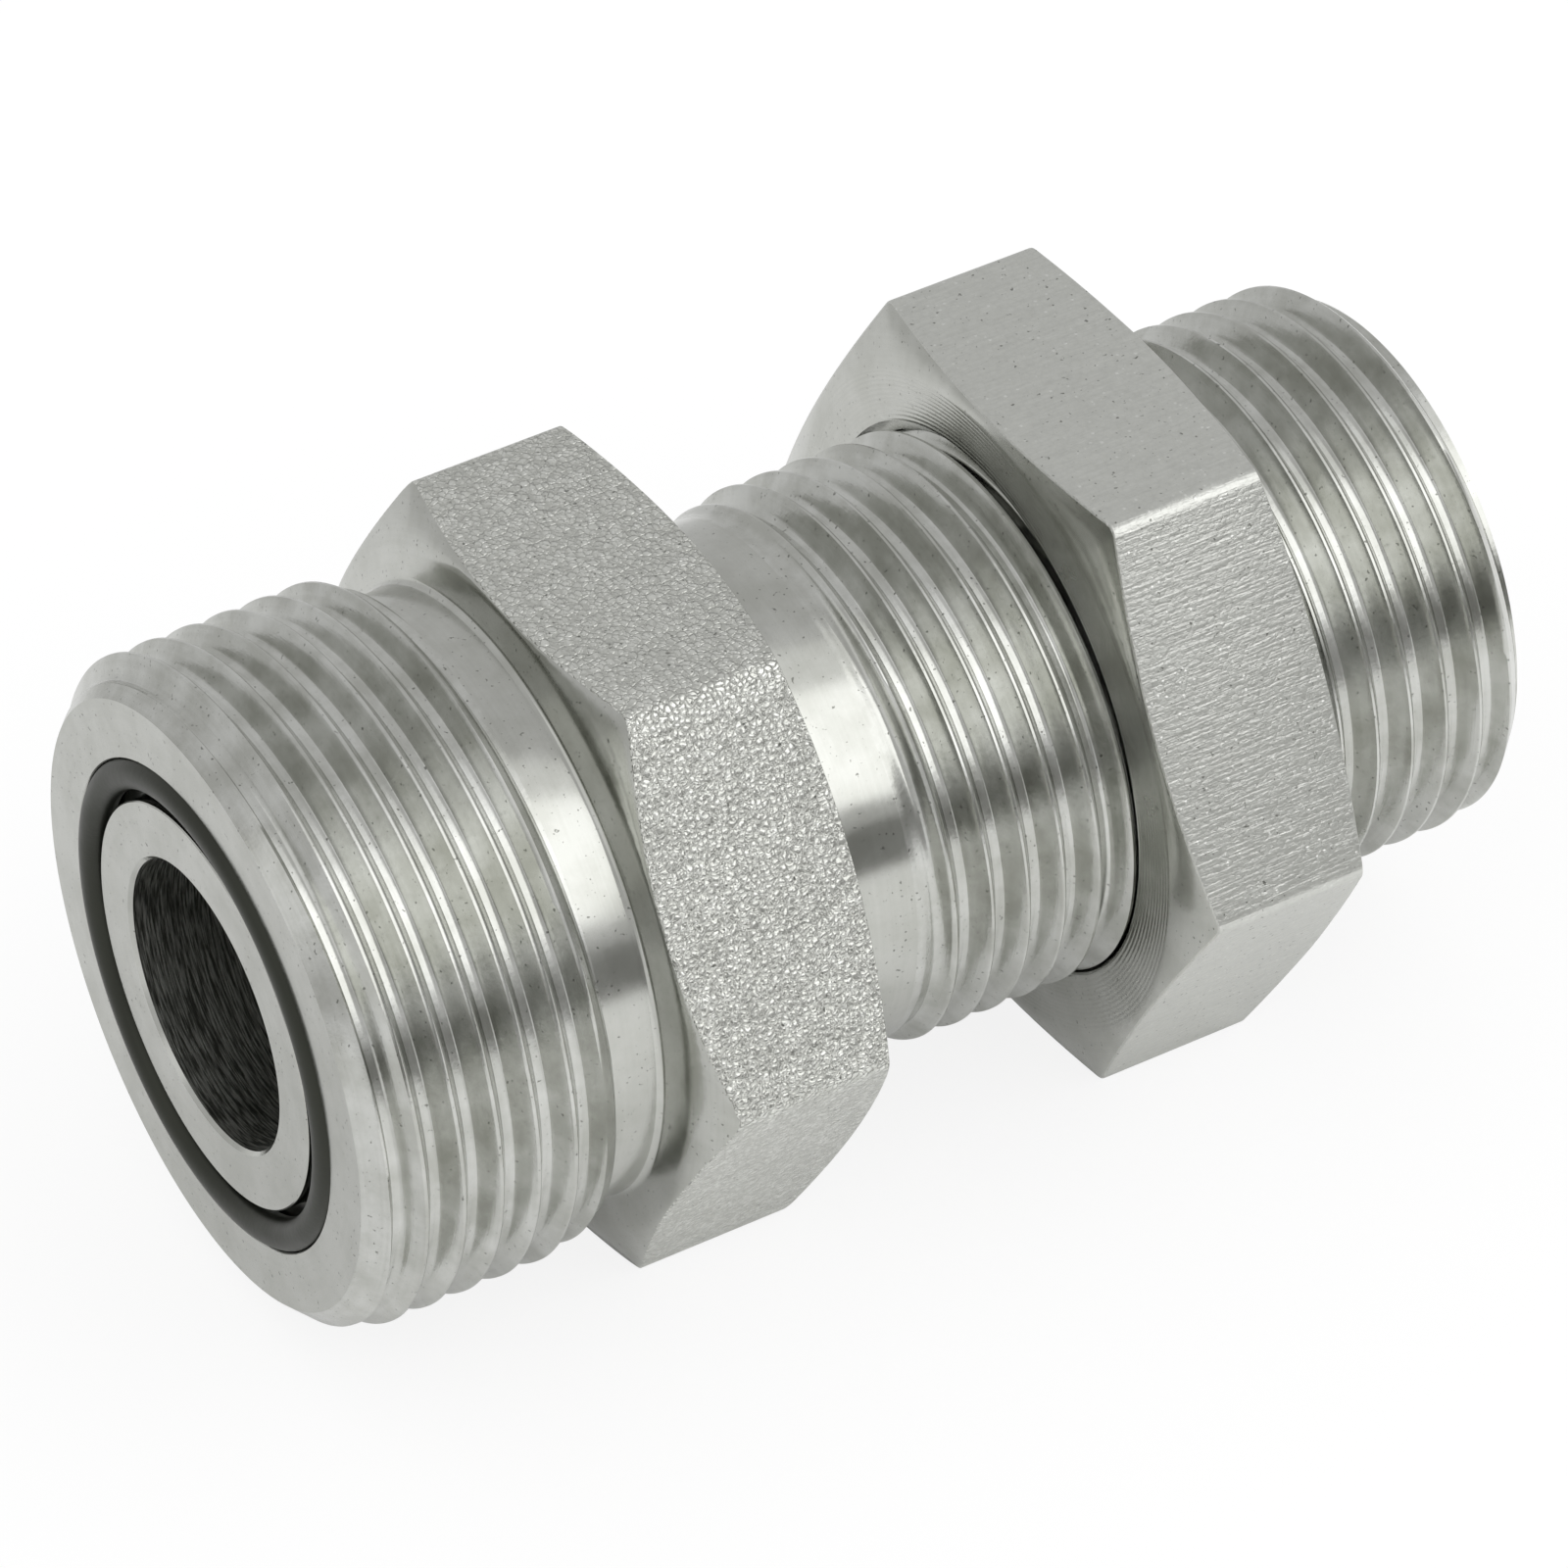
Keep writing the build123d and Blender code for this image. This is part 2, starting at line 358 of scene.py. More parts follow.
def rough_steel(name, high, low, cells, lines, nubs, depth, rough):
    """Hexagon flats left as they came, and plated.

    Cells, lines and nubs are weights of three kinds of relief. Depth is in millimetres.
    """
    material, output = blank_material(name)
    tree = material.node_tree
    do = partial(maths, tree)
    colours = bpy.context.scene.finish_colours
    place = in_millimetres(tree)

    def bumps(vector, spot, detail):
        """Noise about zero."""
        return do("SUBTRACT", noise(tree, vector, spot, detail), 0.5)

    # Round domes that bend out of their grid, with a narrow seam round each
    dome = 0.34
    wavy = node(tree, "ShaderNodeTexNoise", {"Vector": place, "Scale": 1 / 0.5, "Detail": 2.0})
    bend = {0: wavy.outputs["Color"], "Scale": 0.4}
    bent = node(tree, "ShaderNodeVectorMath", bend, operation="SCALE").outputs[0]
    bent = node(tree, "ShaderNodeVectorMath", {0: place, 1: bent}, operation="ADD").outputs[0]
    grid = {"Vector": bent, "Scale": 1 / dome}
    crown = do("POWER", node(tree, "ShaderNodeTexVoronoi", grid).outputs["Distance"], 2.0)
    rim = node(tree, "ShaderNodeTexVoronoi", grid, feature="DISTANCE_TO_EDGE").outputs["Distance"]
    seam = spread(tree, rim, 0.0, 0.18, 1.0, 0.0)
    swell = bumps(place, 0.9, 3.0)
    domes = do("SUBTRACT", do("MULTIPLY", swell, 1.6), do("ADD", do("MULTIPLY", seam, 0.35), crown))

    # Lines along the axis, drawn at 0.16 mm because finer ones don't show
    drawn = node(tree, "ShaderNodeVectorMath", {0: place, 1: (0.1, 1, 1)}, operation="MULTIPLY").outputs[0]
    line = bumps(drawn, 0.16, 3.0)

    # Small nubs here and there, and pits that hold stains
    spot = node(tree, "ShaderNodeTexVoronoi", {"Vector": place, "Scale": 1 / 0.45})
    chance = node(tree, "ShaderNodeSeparateColor", {0: spot.outputs["Color"]}).outputs[0]
    here = spread(tree, do("ADD", chance, do("MULTIPLY", swell, 2.0)), 0.6, 0.75, 0.0, 1.0)
    nub = do("MULTIPLY", spread(tree, spot.outputs["Distance"], 0.1, 0.26, 1.0, 0.0), here)
    pit = spread(tree, bumps(place, 0.26, 1.0), 0.2, 0.27, 0.0, 0.8)

    height = do("MULTIPLY", domes, cells)
    height = do("MULTIPLY_ADD", line, lines, height)
    height = do("MULTIPLY_ADD", nub, 0.5 * nubs, height)
    height = do("MULTIPLY_ADD", bumps(place, 0.22, 2.0), 0.3, height)
    # Painted shade: the colour follows the relief, darker in its hollows and lighter on its tops
    colour = blend(tree, spread(tree, height, -0.6, 0.4, 0.0, 1.0), low, high)
    # Painted highlight: the tops of the nubs get the painted glint colour
    colour = blend(tree, do("MULTIPLY", nub, 0.35), colour, colours.glint)
    colour = blend(tree, pit, colour, colours.speck)
    surface(tree, output, depth, height, {"Base Color": colour, "Metallic": 1.0, "Roughness": rough})
    return material


def blasted_steel():
    """Forged flats, shot blasted and plated: small round domes that sparkle where a lamp catches them, with a
    painted highlight on their nubs.
    """
    colours = bpy.context.scene.finish_colours
    weights = {"cells": 1.0, "lines": 0.0, "nubs": 0.8}
    return rough_steel(
        "blasted_zinc_plated_steel", colours.domes, colours.seams, **weights, depth=0.07, rough=0.26
    )


def drawn_steel():
    """Drawn hexagon bar, pickled and plated: fine lines along it, with small nubs among them whose tops carry
    a painted highlight.
    """
    colours = bpy.context.scene.finish_colours
    weights = {"cells": 0.3, "lines": 1.0, "nubs": 1.0}
    return rough_steel(
        "drawn_zinc_plated_steel", colours.ridges, colours.valleys, **weights, depth=0.03, rough=0.34
    )


def bored_steel():
    """Drilled and bored steel, thinly plated: dark and dull, with streaks round the hole."""
    material, output = blank_material("bored_steel")
    tree = material.node_tree
    colours = bpy.context.scene.finish_colours
    marks = noise(tree, tool_path(tree, in_millimetres(tree), 0.1, 3.0), 1.0, 3.0)
    colour = blend(tree, spread(tree, marks, 0.4, 0.64, 0.0, 1.0), colours.bore_dark, colours.bore)
    surface(tree, output, 0.016, marks, {"Base Color": colour, "Metallic": 1.0, "Roughness": 0.34})
    return material


def nitrile_rubber():
    """Moulded nitrile rubber: dull black with a faint grey sheen."""
    material, output = blank_material("moulded_nitrile_rubber")
    tree = material.node_tree
    colours = bpy.context.scene.finish_colours
    place = in_millimetres(tree)
    grain = noise(tree, place, 0.35, 3.0)
    clouds = noise(tree, place, 3.0, 3.0)
    inputs = {
        "Base Color": blend(tree, clouds, colours.rubber_dark, colours.rubber),
        "Roughness": spread(tree, clouds, 0.3, 0.7, 0.36, 0.46),
        "Specular Tint": linear("FBFFEC"),
    }
    surface(tree, output, 0.01, grain, inputs)
    return material


# Number inputs of the thread tree, in the order in which they stand on the modifier
THREAD_INPUTS = (
    "From",
    "To",
    "Pitch",
    "Crest Radius",
    "Depth",
    "Crest Flat",
    "Rounding",
    "Offset",
    "Start Ring",
    "Start Cone",
    "End Ring",
    "End Cone",
    "End Slope",
    "Blank Radius",
    "Run-in Start",
    "Run-in Length",
    "Side",
)


def thread_tree():
    """Geometry nodes that cut one screw thread between two rings of a turned part and join it on.

    Radii are counted towards the thread's crest, so Side is 1 outside a shaft and -1 inside a hole.
    Rows follow the helix, and are held at the two ends, where they fall together on the rings.
    """
    tree = bpy.data.node_groups.new("screw_thread", "GeometryNodeTree")
    face = tree.interface
    face.new_socket("Geometry", in_out="INPUT", socket_type="NodeSocketGeometry")
    for name in THREAD_INPUTS:
        face.new_socket(name, in_out="INPUT", socket_type="NodeSocketFloat")
    face.new_socket("Columns", in_out="INPUT", socket_type="NodeSocketInt")
    face.new_socket("Rows per Turn", in_out="INPUT", socket_type="NodeSocketInt")
    face.new_socket("Material", in_out="INPUT", socket_type="NodeSocketMaterial")
    face.new_socket("Geometry", in_out="OUTPUT", socket_type="NodeSocketGeometry")
    given = node(tree, "NodeGroupInput").outputs
    do = partial(maths, tree)

    # Rows reach one turn and one row before the start, and one row past the end, so that every column
    # has its own row on each ring
    step = do("DIVIDE", given["Pitch"], given["Rows per Turn"])
    length = do("SUBTRACT", given["To"], given["From"])
    rows = do("ADD", do("CEIL", do("DIVIDE", length, step)), do("ADD", given["Rows per Turn"], 2.0))
    grid = node(
        tree,
        "GeometryNodeMeshGrid",
        {
            "Size X": 1.0,
            "Size Y": 1.0,
            "Vertices X": do("ADD", rows, 1.0),
            "Vertices Y": do("ADD", given["Columns"], 1.0),
        },
    )
    place = node(tree, "ShaderNodeSeparateXYZ", {0: node(tree, "GeometryNodeInputPosition").outputs[0]})
    row = do("ROUND", do("MULTIPLY", do("ADD", place.outputs["X"], 0.5), rows))
    turn = do("ADD", place.outputs["Y"], 0.5)
    helix = do("MULTIPLY", turn, given["Pitch"])
    start = do("SUBTRACT", do("SUBTRACT", given["From"], given["Pitch"]), step)
    along = do("ADD", do("ADD", start, do("MULTIPLY", row, step)), helix)
    along = do("MINIMUM", do("MAXIMUM", along, given["From"]), given["To"])

    # Height of the flanks at the distance from the nearest crest, then rounded crest and root
    side = given["Side"]
    crest = do("MULTIPLY", given["Crest Radius"], side)
    half_turn = do("MULTIPLY", given["Pitch"], 0.5)
    phase = do("SUBTRACT", do("SUBTRACT", along, helix), given["Offset"])
    from_crest = do("PINGPONG", phase, half_turn)
    down_flank = do("SUBTRACT", from_crest, do("MULTIPLY", given["Crest Flat"], 0.5))
    flank = do("SUBTRACT", crest, do("MULTIPLY", down_flank, 1 / math.tan(HALF_FLANK)))
    root = do("SUBTRACT", crest, given["Depth"])
    ridge = do("SMOOTH_MAX", do("SMOOTH_MIN", flank, crest, given["Rounding"]), root, given["Rounding"])

    # The thread rises out of the blank, and the entry chamfer and the run-out cut it off
    risen = node(
        tree,
        "ShaderNodeMapRange",
        {
            "Value": along,
            "From Min": given["Run-in Start"],
            "From Max": do("ADD", given["Run-in Start"], given["Run-in Length"]),
        },
        interpolation_type="SMOOTHSTEP",
    ).outputs[0]
    blank = do("MULTIPLY", given["Blank Radius"], side)
    height = do("ADD", blank, do("MULTIPLY", do("SUBTRACT", ridge, blank), risen))
    start_cone = do("ADD", do("MULTIPLY", given["Start Cone"], side), do("SUBTRACT", along, given["From"]))
    to_end = do("MULTIPLY", do("SUBTRACT", given["To"], along), given["End Slope"])
    end_cone = do("ADD", do("MULTIPLY", given["End Cone"], side), to_end)
    height = do("MINIMUM", height, do("MINIMUM", start_cone, end_cone))
    radius = do("MULTIPLY", height, side)

    # The first and the last row lie on the rings of the part that the thread is joined to
    first = do("LESS_THAN", row, 0.5)
    last = do("GREATER_THAN", row, do("SUBTRACT", rows, 0.5))
    radius = do("ADD", radius, do("MULTIPLY", first, do("SUBTRACT", given["Start Ring"], radius)))
    radius = do("ADD", radius, do("MULTIPLY", last, do("SUBTRACT", given["End Ring"], radius)))
    angle = do("MULTIPLY", turn, math.tau)
    y = do("MULTIPLY", radius, do("COSINE", angle))
    z = do("MULTIPLY", radius, do("SINE", angle))
    spot = node(tree, "ShaderNodeCombineXYZ", {"X": along, "Y": y, "Z": z}).outputs[0]
    skin = node(tree, "GeometryNodeSetPosition", {"Geometry": grid.outputs["Mesh"], "Position": spot})
    marked = node(
        tree,
        "GeometryNodeStoreNamedAttribute",
        {"Geometry": skin.outputs[0], "Name": "thread", "Value": True},
        data_type="BOOLEAN",
        domain="FACE",
    )
    joined = node(tree, "GeometryNodeJoinGeometry", {0: given["Geometry"]})
    tree.links.new(marked.outputs[0], joined.inputs[0])
    welded = node(tree, "GeometryNodeMergeByDistance", {"Geometry": joined.outputs[0], "Distance": WELD})
    real = node(tree, "GeometryNodeRealizeInstances", {"Geometry": welded.outputs[0]})
    chosen = node(tree, "GeometryNodeInputNamedAttribute", {"Name": "thread"}, data_type="BOOLEAN")
    painted = node(
        tree,
        "GeometryNodeSetMaterial",
        {"Geometry": real.outputs[0], "Selection": chosen.outputs[0], "Material": given["Material"]},
    )
    node(tree, "NodeGroupOutput", {"Geometry": painted.outputs[0]})
    return tree


def cut_thread(piece, tree, material, **sizes):
    """Adds the thread tree to a piece. Sizes are named as the tree's inputs, with _ for a space or a dash."""
    threads = bpy.context.scene.thread_sizes
    values = {
        "From": 0.0,
        "To": 0.0,
        "Pitch": threads.pitch,
        "Depth": threads.depth,
        "Crest Flat": threads.crest,
        "Rounding": threads.rounding,
        "Side": 1.0,
        "Columns": COLUMNS,
        "Rows per Turn": ROWS_PER_TURN,
        "Material": material,
    }
    values.update({name.replace("_", " ").title(): value for name, value in sizes.items()})
    modifier = piece.modifiers.new("screw_thread", "NODES")
    modifier.node_group = tree
    for socket in tree.interface.items_tree:
        name = socket.name.replace("-", " ").title() if socket.name.startswith("Run") else socket.name
        if socket.in_out == "INPUT" and name in values:
            modifier[socket.identifier] = values[name]


def round_ring(along, radius):
    """One ring of points round the axis."""
    angles = np.arange(COLUMNS) * math.tau / COLUMNS
    return np.stack([np.full(COLUMNS, along), radius * np.cos(angles), radius * np.sin(angles)], 1)


def hexagon_outline(edge_radius, edge_fall):
    """Points round a hexagon with rounded corners and flats towards +Z and -Z, as Y and Z.

    The flats fall by edge_fall over the last stretch before each corner.
    """
    flat_radius = (body_high[2] - body_low[2]) / 2
    stretch = 1.3 * MM
    lean = math.atan(2 * edge_fall / stretch)
    per_corner = 7
    per_flat = COLUMNS // 6 - per_corner
    arc_centre = (flat_radius - edge_fall - edge_radius * math.cos(lean)) / math.cos(HALF_SIDE)
    half_flat = arc_centre / 2 + edge_radius * math.sin(lean)
    points = []
    for corner in range(6):
        middle = corner * math.tau / 6
        for k in range(per_corner):
            turn = middle + (HALF_SIDE - lean) * (2 * k / (per_corner - 1) - 1)
            y = arc_centre * math.cos(middle) + edge_radius * math.cos(turn)
            z = arc_centre * math.sin(middle) + edge_radius * math.sin(turn)
            points.append((y, z))
        across = middle + HALF_SIDE
        for k in range(per_flat):
            # Points stand closer together towards the corners
            way = 2 * (k + 1) / (per_flat + 1) - 1
            slide = half_flat * (1.5 * way - 0.5 * way**3)
            near = max(0.0, 1 - (half_flat - abs(slide)) / stretch)
            reach = flat_radius - edge_fall * near**2
            y = reach * math.cos(across) - slide * math.sin(across)
            z = reach * math.sin(across) + slide * math.cos(across)
            points.append((y, z))
    first = per_corner // 2
    return np.array(points[first:] + points[:first])


def hexagon_rings(faces, edge_radius, edge_break, edge_fall=0.0, crease_break=0.0, low_shift=0.0):
    """Rings over a hexagon from its low face to its high face, with a cone on the corners at each face.

    Faces are (along, inset, angle), low face first. Its circle may be off centre by low_shift, towards -Z.
    """
    flat_radius = (body_high[2] - body_low[2]) / 2
    outline = hexagon_outline(edge_radius, edge_fall)
    reach = np.hypot(outline[:, 0], outline[:, 1])
    across = outline / reach[:, None]
    crease = max(edge_break, crease_break)

    def turned(along, radius):
        radius = np.broadcast_to(radius, reach.shape)
        return np.column_stack([np.broadcast_to(along, reach.shape), across * radius[:, None]])

    rings = []
    for (face, inset, angle), way, shift in zip(faces, (1, -1), (low_shift, 0.0)):
        face_radius = flat_radius - inset - shift * across[:, 1]
        slope = math.tan(angle)
        cone_end = face + way * (reach - face_radius) * slope
        soft = np.minimum(edge_break, (reach - face_radius) * 0.4)
        turn = np.minimum(crease, (reach - face_radius) * 0.5)
        part = [
            turned(face, face_radius - crease),
            turned(face + way * turn * slope * 0.5, face_radius + turn * 0.5),
            turned(cone_end - way * soft * slope, reach - soft),
            turned(cone_end + way * soft * 0.3, reach - soft * 0.1),
            turned(cone_end + way * soft, reach),
        ]
        rings.append(part)
    return rings[0] + rings[1][::-1]


def broken(profile, width):
    """A profile whose corners are cut off by a small chamfer. Points are (along, radius)."""
    points = [Vector(p) for p in profile]
    result = [points[0]]
    for before, corner, after in zip(points, points[1:], points[2:]):
        back, on = before - corner, after - corner
        cut = min(width, back.length * 0.4, on.length * 0.4)
        result += [corner + back.normalized() * cut, corner + on.normalized() * cut]
    return [tuple(p) for p in result + [points[-1]]]


def fillet(centre, radius, first, last, steps=6):
    """Points of an arc in the profile plane, from angle first to last in degrees."""
    angles = [math.radians(first + (last - first) * k / steps) for k in range(steps + 1)]
    return [(centre[0] + radius * math.cos(a), centre[1] + radius * math.sin(a)) for a in angles]


def shell(name, strips, materials):
    """A mesh object from strips of rings. Each strip is (rings, material index)."""
    mesh = bmesh.new()
    for rings, material in strips:
        rows = [[mesh.verts.new(p) for p in ring] for ring in rings]
        for row, following in zip(rows, rows[1:]):
            for k in range(len(row)):
                after = (k + 1) % len(row)
                made = mesh.faces.new((row[k], row[after], following[after], following[k]))
                made.material_index = material
    bmesh.ops.remove_doubles(mesh, verts=mesh.verts, dist=WELD)
    data = bpy.data.meshes.new(name)
    mesh.to_mesh(data)
    mesh.free()
    piece = bpy.data.objects.new(name, data)
    bpy.context.scene.collection.objects.link(piece)
    for material in materials:
        data.materials.append(material)
    return piece


def made_plain(piece):
    """Turns the evaluated piece into a plain mesh with its faces outwards, and drops its modifiers."""
    evaluated = piece.evaluated_get(bpy.context.evaluated_depsgraph_get())
    data = bpy.data.meshes.new_from_object(evaluated)
    piece.modifiers.clear()
    piece.data = data
    data.name = piece.name
    mesh = bmesh.new()
    mesh.from_mesh(data)
    bmesh.ops.remove_doubles(mesh, verts=mesh.verts, dist=WELD)
    bmesh.ops.dissolve_degenerate(mesh, edges=mesh.edges, dist=WELD)
    bmesh.ops.recalc_face_normals(mesh, faces=mesh.faces)
    open_edges = sum(not edge.is_manifold for edge in mesh.edges)
    mesh.to_mesh(data)
    mesh.free()
    if open_edges:
        raise RuntimeError(f"{piece.name} has {open_edges} open edges")
    data.shade_smooth()
    data.set_sharp_from_angle(angle=SHARP_ANGLE)


def face_profile(face, way, rim, groove, body):
    """Profile of a seal face from the bore's edge out to the rim of the thread's chamfer."""
    bore = mounts["through_bore"]["dims"]["r_mm"] * MM
    floor = face + way * body.groove_depth
    inner = groove - body.groove_width
    profile = [
        (face + way * body.bore_chamfer, bore),
        (face, bore + body.bore_chamfer),
        (face, inner),
        (floor, inner),
        (floor, groove + body.groove_lean),
        (face, groove),
        (face, rim),
    ]
    return broken(profile[:2], 0) + broken(profile[1:], body.edge_break)[1:]


class UNION_OT_body(bpy.types.Operator):
    """Build the union body with its two threads"""

    bl_idname = "union.body"
    bl_label = "Union Body"

    def execute(self, context):
        body = context.scene.body_sizes
        threads = context.scene.thread_sizes
        front, rear = body_low[0], body_high[0]
        bore = mounts["through_bore"]["dims"]["r_mm"] * MM
        large = mounts["large_thread"]["dims"]["r_mm"] * MM
        small = body.small_thread_radius
        hexagon = -body.hexagon_width
        large_rim = large - body.large_chamfer
        small_rim = small - body.small_chamfer
        relief = large - body.relief_depth
        relief_start = front + body.large_thread_length
        shank = small - body.shank_depth
        shank_end = body.shank_length

        relief_end = hexagon - body.front_dish - body.relief_fillet
        relief_arc = fillet((relief_end, relief + body.relief_fillet), body.relief_fillet, -90, 0)
        shank_arc = fillet((body.shank_fillet, shank + body.shank_fillet), body.shank_fillet, 180, 270)
        front_face = face_profile(front, 1, large_rim, body.large_groove, body)
        rear_face = face_profile(rear, -1, small_rim, body.small_groove, body)
        hexagon_part = hexagon_rings(
            ((hexagon, body.front_inset, body.front_angle), (0.0, body.panel_inset, body.panel_angle)),
            body.edge_radius,
            body.edge_break,
            body.edge_fall,
            body.crease_break,
        )
        turned, flats, bored = range(3)
        strips = [
            ([round_ring(*p) for p in front_face], turned),
            ([round_ring(relief_start, relief)] + [round_ring(*p) for p in relief_arc], turned),
            ([round_ring(*relief_arc[-1])] + hexagon_part[:3], turned),
            (hexagon_part[2:8], flats),
            (hexagon_part[7:] + [round_ring(*shank_arc[0])], turned),
            ([round_ring(*p) for p in shank_arc] + [round_ring(shank_end, shank)], turned),
            ([round_ring(*p) for p in rear_face], turned),
            ([round_ring(*front_face[0]), round_ring(*rear_face[0])], bored),
        ]
        piece = shell("union_body_dressed", strips, [turned_steel(), blasted_steel(), bored_steel()])
        steel = thread_steel()
        tree = thread_tree()
        cut_thread(
            piece,
            tree,
            steel,
            From=front,
            To=relief_start,
            crest_radius=large,
            offset=threads.large_offset,
            start_ring=large_rim,
            start_cone=large_rim,
            end_ring=relief,
            end_cone=large - body.runout_drop,
            end_slope=body.runout_drop / body.runout_length,
            blank_radius=relief,
            run_in_start=front - body.run_in,
            run_in_length=body.run_in,
        )
        cut_thread(
            piece,
            tree,
            steel,
            From=shank_end,
            To=rear,
            crest_radius=small,
            offset=threads.small_offset,
            start_ring=shank,
            start_cone=large,
            end_ring=small_rim,
            end_cone=small_rim,
            end_slope=1.0,
            blank_radius=shank,
            run_in_start=shank_end,
            run_in_length=body.run_in,
        )
        made_plain(piece)
        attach(piece, "union")
        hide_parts("union_body")
        return {"FINISHED"}


class UNION_OT_locknut(bpy.types.Operator):
    """Build the locknut with the thread in its hole"""

    bl_idname = "union.locknut"
    bl_label = "Locknut"

    def execute(self, context):
        nut = context.scene.nut_sizes
        threads = context.scene.thread_sizes
        low, high = nut_low[0], nut_high[0]
        rings = hexagon_rings(
            ((low, nut.panel_inset, nut.panel_angle), (high, nut.outer_inset, nut.outer_angle)),
            nut.edge_radius,
            nut.edge_break,
            low_shift=nut.panel_shift,
        )
        turned, flats, faced = range(3)
        strips = [
            ([round_ring(low, nut.mouth_radius), rings[0]], faced),
            (rings[:3], turned),
            (rings[2:8], flats),
            (rings[7:], turned),
            ([rings[-1], round_ring(high, nut.mouth_radius)], faced),
        ]
        piece = shell("locknut_dressed", strips, [turned_steel(), drawn_steel(), faced_steel()])
        crest = context.scene.body_sizes.small_thread_radius - threads.depth + threads.play
        cut_thread(
            piece,
            thread_tree(),
            thread_steel(),
            From=low,
            To=high,
            crest_radius=crest,
            depth=threads.depth,
            offset=threads.small_offset + threads.pitch / 2,
            start_ring=nut.mouth_radius,
            start_cone=nut.mouth_radius,
            end_ring=nut.mouth_radius,
            end_cone=nut.mouth_radius,
            end_slope=1.0,
            blank_radius=nut.mouth_radius,
            run_in_start=low - threads.pitch,
            run_in_length=threads.pitch,
            side=-1.0,
        )
        made_plain(piece)
        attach(piece, "locknut")
        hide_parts("locknut")
        return {"FINISHED"}


class UNION_OT_o_rings(bpy.types.Operator):
    """Build the two O-rings in their grooves"""

    bl_idname = "union.o_rings"
    bl_label = "O-rings"

    def execute(self, context):
        rubber = nitrile_rubber()
        steps = 36
        for name, low, high in (
            ("large_o_ring", large_ring_low, large_ring_high),
            ("small_o_ring", small_ring_low, small_ring_high),
        ):
            section = (high[0] - low[0]) / 2
            middle = (high[0] + low[0]) / 2
            reach = (high[1] - low[1]) / 2 - section
            profile = fillet((middle, reach), section, 0, 360, steps)
            rings = [round_ring(*p) for p in profile]
            piece = shell(f"{name}_dressed", [(rings, 0)], [rubber])
            made_plain(piece)
            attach(piece, "union")
            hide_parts(name)
        return {"FINISHED"}


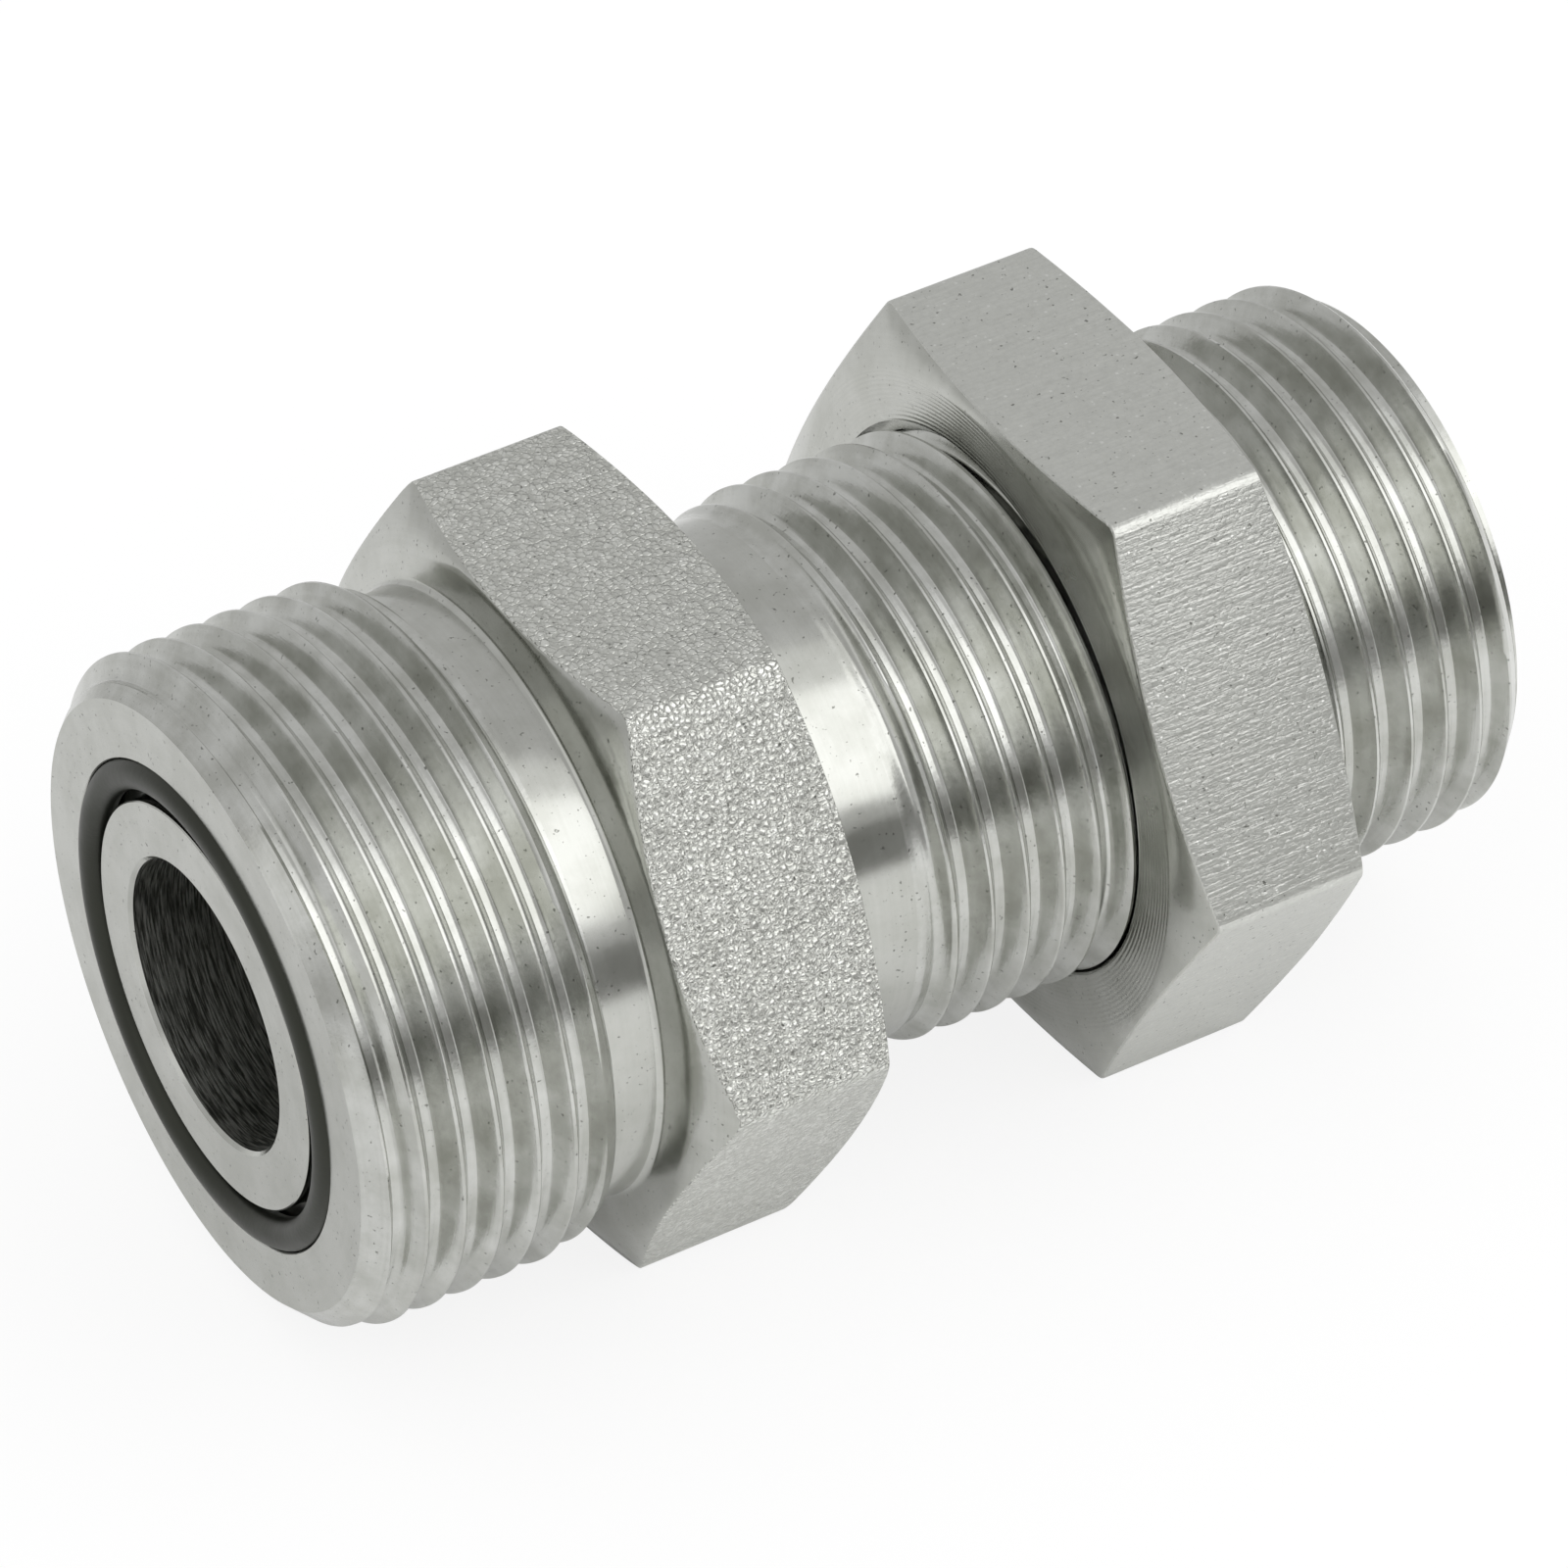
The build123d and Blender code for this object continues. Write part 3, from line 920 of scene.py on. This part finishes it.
class UNION_OT_stage(bpy.types.Operator):
    """Lay the floor, hang the lamps and set up the camera"""

    bl_idname = "union.stage"
    bl_label = "Stage"

    def execute(self, context):
        scene = context.scene
        scene.view_settings.view_transform = "Standard"

        # Floor
        mesh = bmesh.new()
        level = body_low[2] - FLOOR_GAP
        corners = ((-1, -1), (1, -1), (1, 1), (-1, 1))
        mesh.faces.new([mesh.verts.new((x * FLOOR_HALF, y * FLOOR_HALF, level)) for x, y in corners])
        data = bpy.data.meshes.new("floor")
        mesh.to_mesh(data)
        mesh.free()
        floor = bpy.data.objects.new("floor", data)
        scene.collection.objects.link(floor)
        material, output = blank_material("white_floor")
        tree = material.node_tree
        path = node(tree, "ShaderNodeLightPath").outputs
        # Painted shade that only reflections see: the floor a little darker behind the object and at its
        # large end
        place = node(tree, "ShaderNodeTexCoord").outputs["Object"]
        place = node(tree, "ShaderNodeSeparateXYZ", {0: place}).outputs
        behind = spread(tree, place["Y"], 0.03, 0.11, 0.0, 0.36)
        beside = spread(tree, place["X"], -0.028, -0.04, 0.0, 0.16)
        dim = maths(tree, "MAXIMUM", behind, beside)
        dim = maths(tree, "MULTIPLY", dim, path["Is Glossy Ray"])
        colour = blend(tree, dim, scene.finish_colours.floor, "000000")
        plain = node(tree, "ShaderNodeBsdfDiffuse", {"Color": colour})
        lit = blend(tree, dim, "FFFFFF", "000000")
        white = node(tree, "ShaderNodeEmission", {"Color": lit, "Strength": 1.0})
        # Share of plain white, so that the camera sees a white ground with the object's soft shadow
        share = maths(tree, "MULTIPLY", path["Is Camera Ray"], 0.85)
        share = maths(tree, "MULTIPLY_ADD", path["Is Glossy Ray"], 0.15, share)
        mixed = node(tree, "ShaderNodeMixShader", {0: share, 1: plain.outputs[0], 2: white.outputs[0]})
        tree.links.new(mixed.outputs[0], output.inputs["Surface"])
        data.materials.append(material)

        # White all round, and a greyer ceiling where metal reflects it
        world = bpy.data.worlds.new("studio")
        scene.world = world
        world.use_nodes = True
        world.node_tree.nodes.clear()
        tree = world.node_tree
        path = node(tree, "ShaderNodeLightPath").outputs
        around, ceiling = (
            node(tree, "ShaderNodeBackground", {"Color": linear("FFFFFF"), "Strength": strength}).outputs[0]
            for strength in (1.0, 0.64)
        )
        mixed = node(tree, "ShaderNodeMixShader", {0: path["Is Glossy Ray"], 1: around, 2: ceiling})
        node(tree, "ShaderNodeOutputWorld", {"Surface": mixed.outputs[0]})

        # A faint softbox at the left, two at the right and in front, and a dark card under those
        self.lamp(scene, azimuth=255, elevation=38, width=0.8, height=0.6, radiance=0.3)
        self.lamp(scene, azimuth=130, elevation=48, width=0.95, height=0.74, radiance=0.45)
        self.lamp(scene, azimuth=143, elevation=42, width=0.68, height=0.6, radiance=0.72)
        self.card(scene, first=105, last=205, distance=0.24, height=0.078)

        # Camera, at the photograph's place
        camera_data = bpy.data.cameras.new("camera")
        camera = bpy.data.objects.new("camera", camera_data)
        scene.collection.objects.link(camera)
        camera_data.sensor_width = 36.0
        camera_data.lens = 228.8
        forward = Vector((0.3798, 0.6517, -0.6565)).normalized()
        right = Vector((0.8604, -0.5095, -0.0079)).normalized()
        turn = Matrix((right, right.cross(forward), -forward)).transposed()
        camera.location = Vector((-189.63, -334.78, 336.82)) * MM
        camera.rotation_euler = turn.to_euler()
        camera_data.clip_start = 0.05
        camera_data.clip_end = 20.0
        scene.camera = camera
        return {"FINISHED"}

    def lamp(self, scene, azimuth, elevation, width, height, radiance):
        """A rectangular soft light that faces the object. Azimuth is from +Y towards +X, in degrees."""
        data = bpy.data.lights.new("softbox", "AREA")
        data.shape = "RECTANGLE"
        data.size = width
        data.size_y = height
        data.energy = radiance * math.pi * width * height
        lamp = bpy.data.objects.new("softbox", data)
        a, e = math.radians(azimuth), math.radians(elevation)
        way = Vector((math.sin(a) * math.cos(e), math.cos(a) * math.cos(e), math.sin(e)))
        lamp.location = way * LAMP_DISTANCE
        lamp.rotation_euler = way.to_track_quat("Z", "Y").to_euler()
        scene.collection.objects.link(lamp)

    def card(self, scene, first, last, distance, height):
        """A curved dark card that only reflections see, between two azimuths in degrees."""
        mesh = bmesh.new()
        foot = body_low[2]
        rows = []
        for k in range(CARD_STRIPS + 1):
            a = math.radians(first + (last - first) * k / CARD_STRIPS)
            x, y = math.sin(a) * distance, math.cos(a) * distance
            rows.append([mesh.verts.new((x, y, z)) for z in (foot, foot + height)])
        for row, following in zip(rows, rows[1:]):
            mesh.faces.new((row[0], following[0], following[1], row[1]))
        data = bpy.data.meshes.new("dark_card")
        mesh.to_mesh(data)
        mesh.free()
        card = bpy.data.objects.new("dark_card", data)
        scene.collection.objects.link(card)
        card.visible_camera = False
        card.visible_shadow = False
        card.visible_diffuse = False
        material, output = blank_material("dark_card")
        black = node(material.node_tree, "ShaderNodeBsdfDiffuse", {"Color": linear("858583")})
        material.node_tree.links.new(black.outputs[0], output.inputs["Surface"])
        data.materials.append(material)


class UNION_PT_panel(bpy.types.Panel):
    """The pieces of the union, in the order in which they are built."""

    bl_label = "Face Seal Bulkhead Union"
    bl_idname = "UNION_PT_panel"
    bl_space_type = "VIEW_3D"
    bl_region_type = "UI"
    bl_category = "Union"

    def draw(self, context):
        for operator in (UNION_OT_body, UNION_OT_locknut, UNION_OT_o_rings, UNION_OT_stage):
            self.layout.operator(operator.bl_idname)


GROUPS = {
    "thread_sizes": ThreadSizes,
    "body_sizes": BodySizes,
    "nut_sizes": NutSizes,
    "finish_colours": FinishColours,
}
OPERATORS = (UNION_OT_body, UNION_OT_locknut, UNION_OT_o_rings, UNION_OT_stage)


def register():
    for name, group in GROUPS.items():
        bpy.utils.register_class(group)
        setattr(bpy.types.Scene, name, bpy.props.PointerProperty(type=group))
    for cls in (*OPERATORS, UNION_PT_panel):
        bpy.utils.register_class(cls)


def unregister():
    for cls in (UNION_PT_panel, *reversed(OPERATORS)):
        bpy.utils.unregister_class(cls)
    for name, group in reversed(GROUPS.items()):
        delattr(bpy.types.Scene, name)
        bpy.utils.unregister_class(group)


def main():
    register()
    bpy.ops.union.body()
    bpy.ops.union.locknut()
    bpy.ops.union.o_rings()
    bpy.ops.union.stage()


if __name__ == "__main__":
    main()
